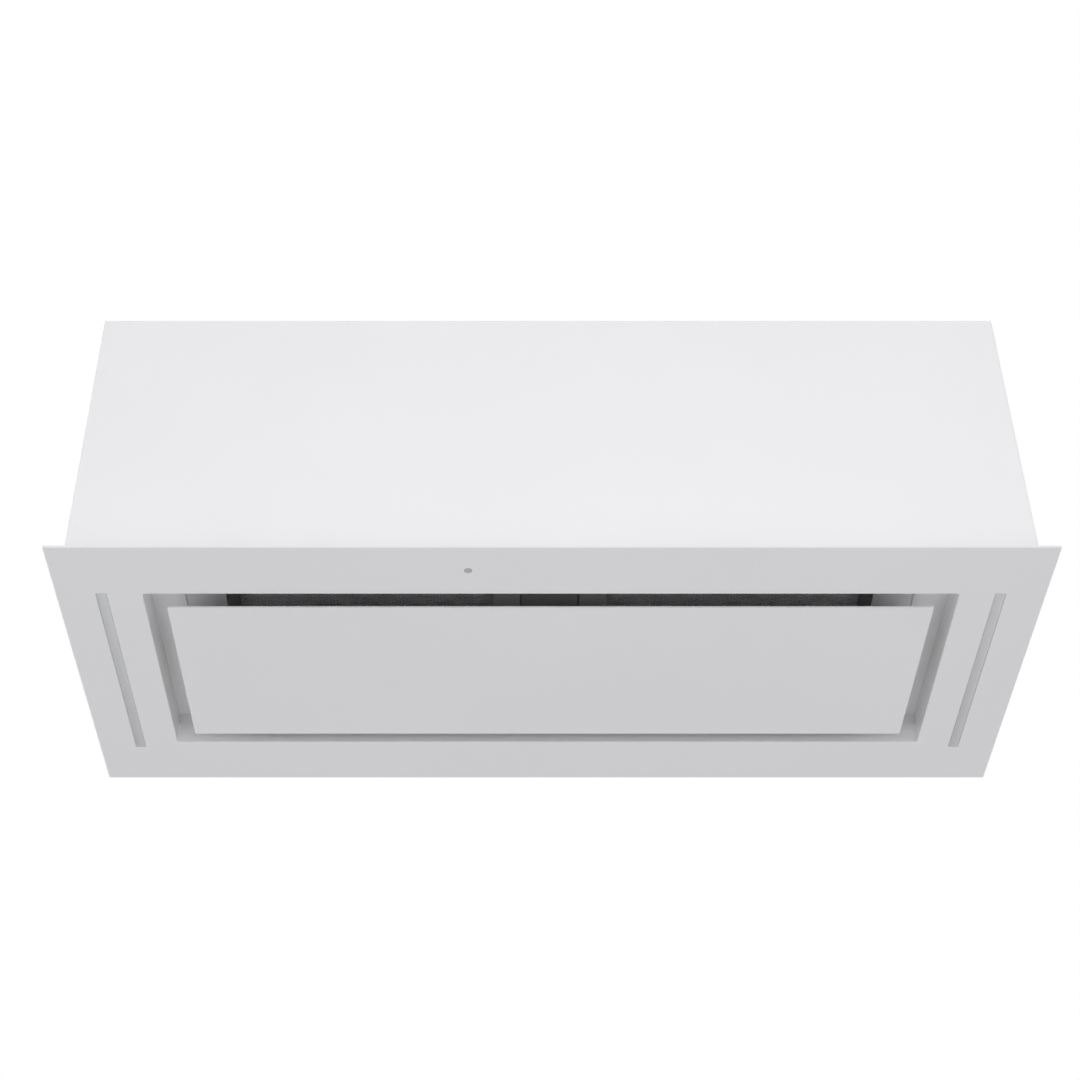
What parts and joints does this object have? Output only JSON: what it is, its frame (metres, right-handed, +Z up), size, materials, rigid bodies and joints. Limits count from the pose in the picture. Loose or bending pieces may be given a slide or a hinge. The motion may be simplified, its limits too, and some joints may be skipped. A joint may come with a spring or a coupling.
{
  "type": "ceiling range hood",
  "caption": "Ceiling range hood: flat fascia with a hinged perimeter-suction panel and end light strips, under a box with filters, a centrifugal blower and a round duct outlet.",
  "frame": {"origin": "centre of the fascia's underside, which is the lowest plane of the closed hood", "axes": "+X to the right along the hood's width, +Y to the hinge side of the panel (away from the viewer of the picture), +Z up towards the duct outlet"},
  "size_m": [0.9, 0.38, 0.345],
  "materials": {
    "white_powder_coat": "satin powder coat",
    "inner_white_paint": "satin powder coat",
    "galvanised_steel": "galvanised sheet",
    "zinc_fasteners": "zinc plated",
    "aluminium_filter": "satin",
    "aluminium_channel": "anodised",
    "opal_diffuser": "frosted",
    "smoked_window": "polished",
    "circuit_board": "solder mask",
    "ferrite": "sintered",
    "spring_steel": "bright",
    "grey_plastic": "moulded",
    "black_plastic": "moulded",
    "electrical_steel": "laminated",
    "motor_paint": "semi gloss",
    "ground_steel": "ground",
    "rubber": "matt",
    "terminal_plastic": "moulded",
    "capacitor_case": "moulded"
  },
  "bodies": {
    "hood": {"fascia_frame": "white_powder_coat", "fascia_nuts": "zinc_fasteners", "housing_wrapper": "white_powder_coat", "end_plate_right": "white_powder_coat", "end_plate_left": "white_powder_coat", "housing_rivets": "zinc_fasteners", "inner_tray": "inner_white_paint", "hanger_rail_right": "galvanised_steel", "hanger_rail_left": "galvanised_steel", "rail_rivets": "zinc_fasteners", "led_lens_right": "opal_diffuser", "led_lens_left": "opal_diffuser", "led_channel_right": "aluminium_channel", "led_channel_left": "aluminium_channel", "led_boards": "circuit_board", "receiver_window": "smoked_window", "receiver_board": "circuit_board", "hinge_brackets": "galvanised_steel", "catch_brackets": "galvanised_steel", "catch_magnets": "ferrite", "filter_carrier": "galvanised_steel", "filter_hooks": "spring_steel", "filter_clips_right": "spring_steel", "filter_clips_left": "spring_steel", "outlet_collar": "black_plastic", "flap_pin": "ground_steel", "blower_scroll": "galvanised_steel", "blower_side_right": "galvanised_steel", "blower_side_left": "galvanised_steel", "motor_stator": "electrical_steel", "motor_shell_inner": "motor_paint", "motor_shell_outer": "motor_paint", "motor_bearings": "ground_steel", "motor_spider": "galvanised_steel", "motor_bushes": "rubber", "motor_screws": "zinc_fasteners", "control_box": "grey_plastic", "control_box_cover": "grey_plastic", "control_board": "circuit_board", "terminal_block": "terminal_plastic", "led_driver": "terminal_plastic", "run_capacitor": "capacitor_case", "cable_grommet": "rubber", "sheet_screws": "zinc_fasteners"},
    "panel": {"panel_skin": "white_powder_coat", "panel_tray": "galvanised_steel", "panel_hinge_ears": "galvanised_steel", "panel_hinge_pins": "ground_steel"},
    "filter_left": {"filter_frame_left": "aluminium_filter", "filter_mesh_left": "aluminium_filter", "filter_pull_left": "aluminium_filter"},
    "filter_right": {"filter_frame_right": "aluminium_filter", "filter_mesh_right": "aluminium_filter", "filter_pull_right": "aluminium_filter"},
    "fan": {"impeller": "black_plastic", "motor_shaft": "ground_steel", "motor_rotor": "electrical_steel"},
    "duct_flap_front": {"flap_front": "grey_plastic"},
    "duct_flap_rear": {"flap_rear": "grey_plastic"}
  },
  "joints": [
    {"name": "panel_hinge", "type": "hinge", "parent": "hood", "child": "panel", "pos_m": [0, 0.0965, 0.017], "axis": [1, 0, 0], "range_deg": [0, 90]},
    {"name": "filter_left_tilt", "type": "hinge", "parent": "hood", "child": "filter_left", "pos_m": [-0.165, 0.1065, 0.0405], "axis": [1, 0, 0], "range_deg": [0, 36], "deforming": ["filter_clips_left"]},
    {"name": "filter_right_tilt", "type": "hinge", "parent": "hood", "child": "filter_right", "pos_m": [0.165, 0.1065, 0.0405], "axis": [1, 0, 0], "range_deg": [0, 36], "deforming": ["filter_clips_right"]},
    {"name": "impeller_spin", "type": "hinge", "parent": "hood", "child": "fan", "pos_m": [0, -0.028, 0.165], "axis": [1, 0, 0], "continuous": true},
    {"name": "flap_front_swing", "type": "hinge", "parent": "hood", "child": "duct_flap_front", "pos_m": [0, 0.046, 0.3083], "axis": [-1, 0, 0], "range_deg": [0, 75]},
    {"name": "flap_rear_swing", "type": "hinge", "parent": "hood", "child": "duct_flap_rear", "pos_m": [0, 0.046, 0.3083], "axis": [1, 0, 0], "range_deg": [0, 75]}
  ],
  "couplings": [
    {"joint": "filter_left_tilt", "follows": "panel_hinge", "ratio": 0.4},
    {"joint": "filter_right_tilt", "follows": "panel_hinge", "ratio": 0.4}
  ]
}
